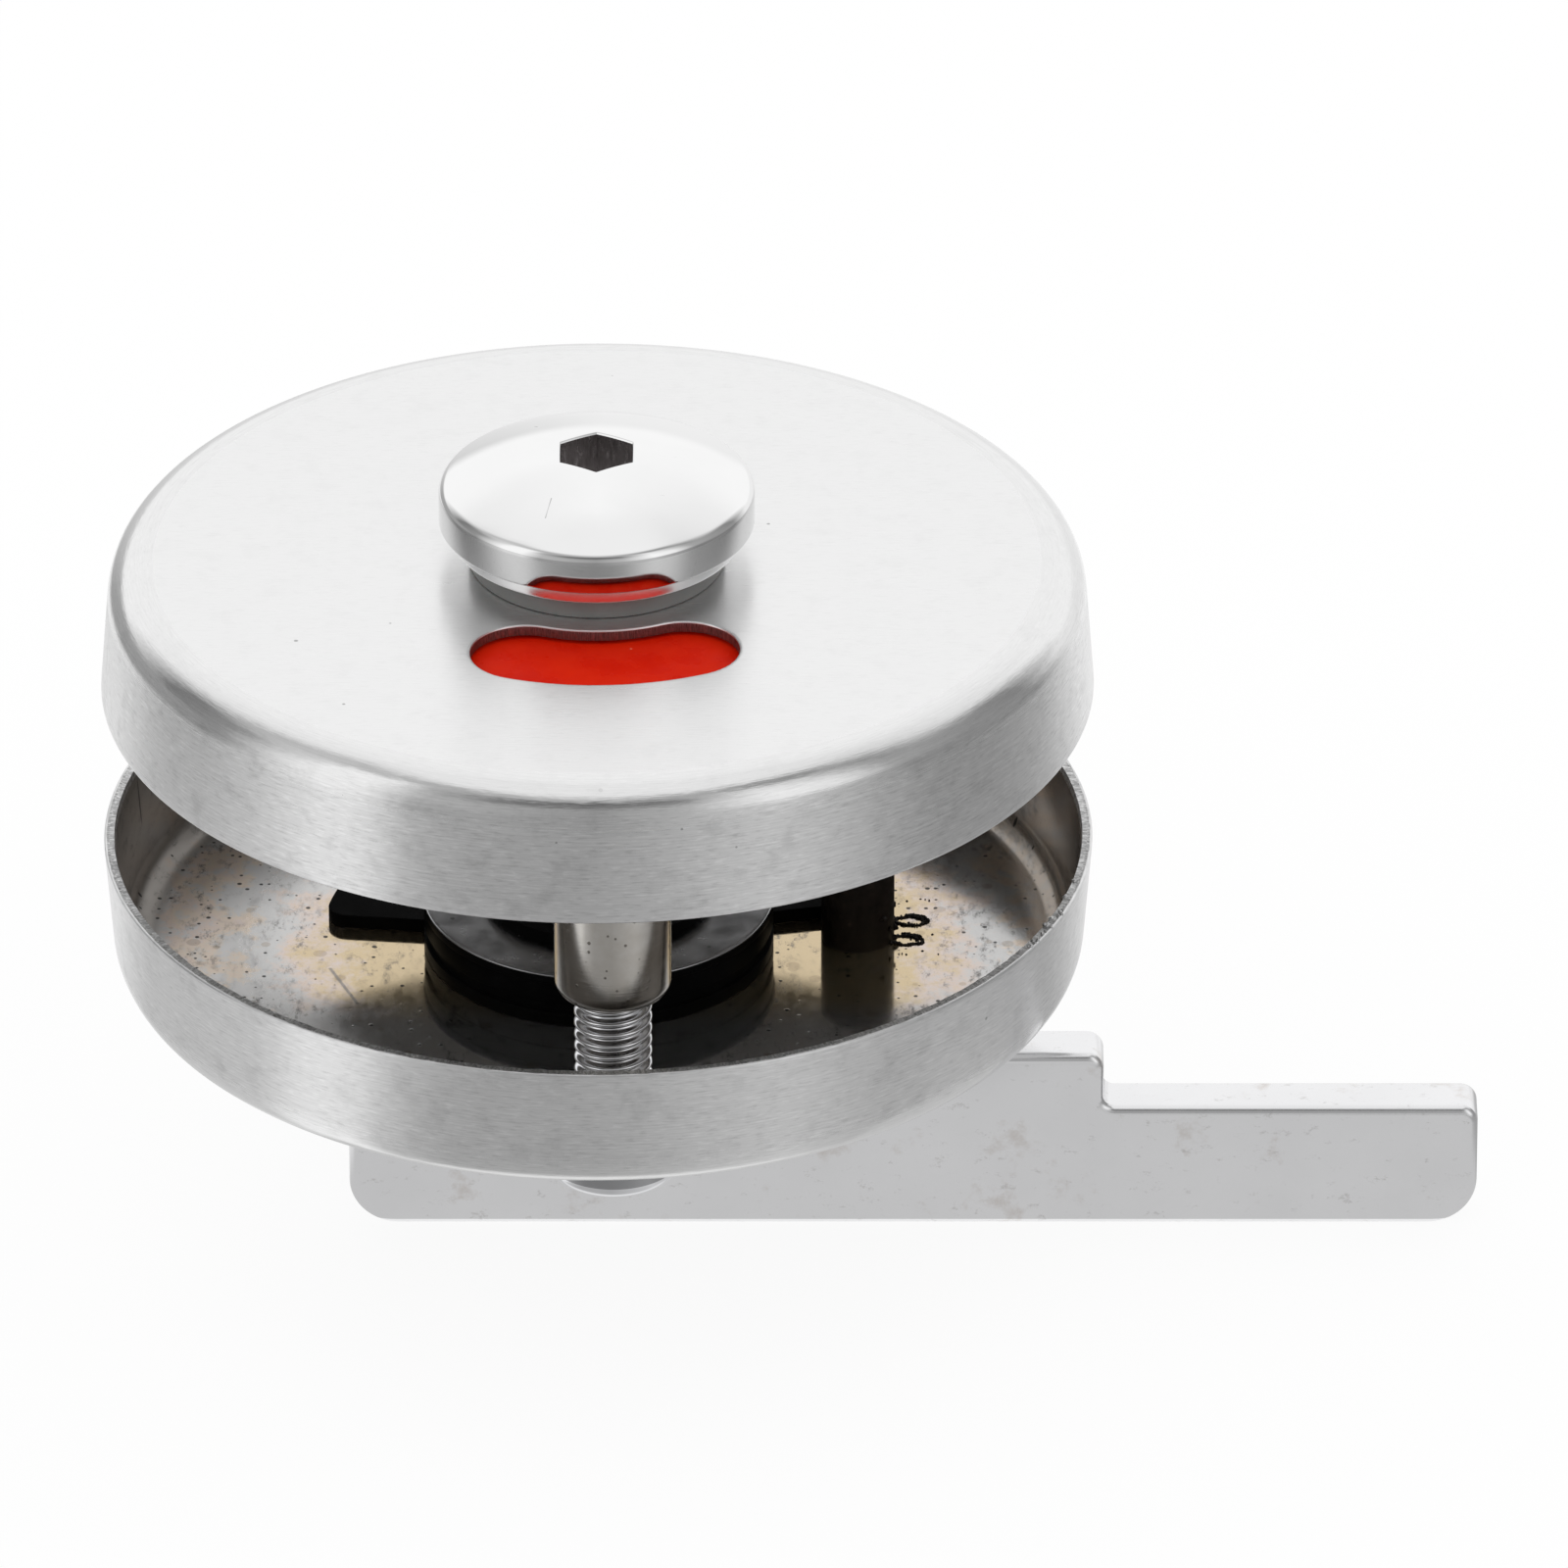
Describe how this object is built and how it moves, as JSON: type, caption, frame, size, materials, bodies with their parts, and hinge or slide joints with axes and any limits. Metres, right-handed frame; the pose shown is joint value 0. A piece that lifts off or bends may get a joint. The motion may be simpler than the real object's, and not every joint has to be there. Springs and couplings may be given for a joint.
{
  "type": "toilet indicator bolt",
  "caption": "Indicator bolt for a cubicle door: pressed roses clamp the panel, a stepped lever turns a spindle, and a coloured disc behind a window shows locked or free.",
  "frame": {"origin": "on the spindle's axis, in the plane of the inner rose's rim, which is the door's inner face", "axes": "+Z along the spindle to the outer rose, +X along the lever in the locked place, window on the -Y side"},
  "size_m": [0.0976, 0.07, 0.0616],
  "materials": {
    "brushed_rose": "fine straight brushing",
    "rose_inside": "satin outside, rolled and heat-stained inside",
    "polished_chrome": "mirror polished",
    "plated_lever": "bright plated with small pits",
    "zinc_steel": "zinc plated",
    "nickel_post": "turned and nickel plated",
    "raw_steel": "dark, welded",
    "black_steel": "black, satin",
    "nylon": "moulded",
    "brass": "stamped",
    "disc_white": "white coat",
    "red": "gloss film",
    "green": "gloss film"
  },
  "bodies": {
    "inner_half": {"inner_rose": "rose_inside", "hub_bush": "nylon", "stop_pin": "raw_steel", "front_screw": "zinc_steel", "rear_screw": "zinc_steel"},
    "latch": {"lever_hub": "plated_lever", "lever_bar": "plated_lever", "lever_rivet": "zinc_steel", "thrust_washer": "brass", "stop_cam": "black_steel", "cam_drum": "black_steel", "cover_washer": "zinc_steel", "hub_circlip": "black_steel"},
    "outer_half": {"outer_rose": "brushed_rose", "front_post": "nickel_post", "rear_post": "nickel_post"},
    "indicator": {"release_button": "polished_chrome", "button_washer": "polished_chrome", "friction_washer": "nylon", "spindle": "zinc_steel", "indicator_disc": "disc_white", "red_segments": "red", "green_segments": "green", "cone_spring": "black_steel", "spindle_clip": "black_steel"}
  },
  "joints": [
    {"name": "latch_turn", "type": "hinge", "parent": "inner_half", "child": "latch", "pos_m": [0, 0, 0], "axis": [0, 0, 1], "range_deg": [0, 180]},
    {"name": "door_grip", "type": "slide", "parent": "inner_half", "child": "outer_half", "axis": [0, 0, 1], "range_m": [0, 0.006]},
    {"name": "indicator_turn", "type": "hinge", "parent": "outer_half", "child": "indicator", "pos_m": [0, 0, 0], "axis": [0, 0, 1], "range_deg": [0, 180]}
  ],
  "couplings": [
    {"joint": "indicator_turn", "follows": "latch_turn", "ratio": 1}
  ]
}
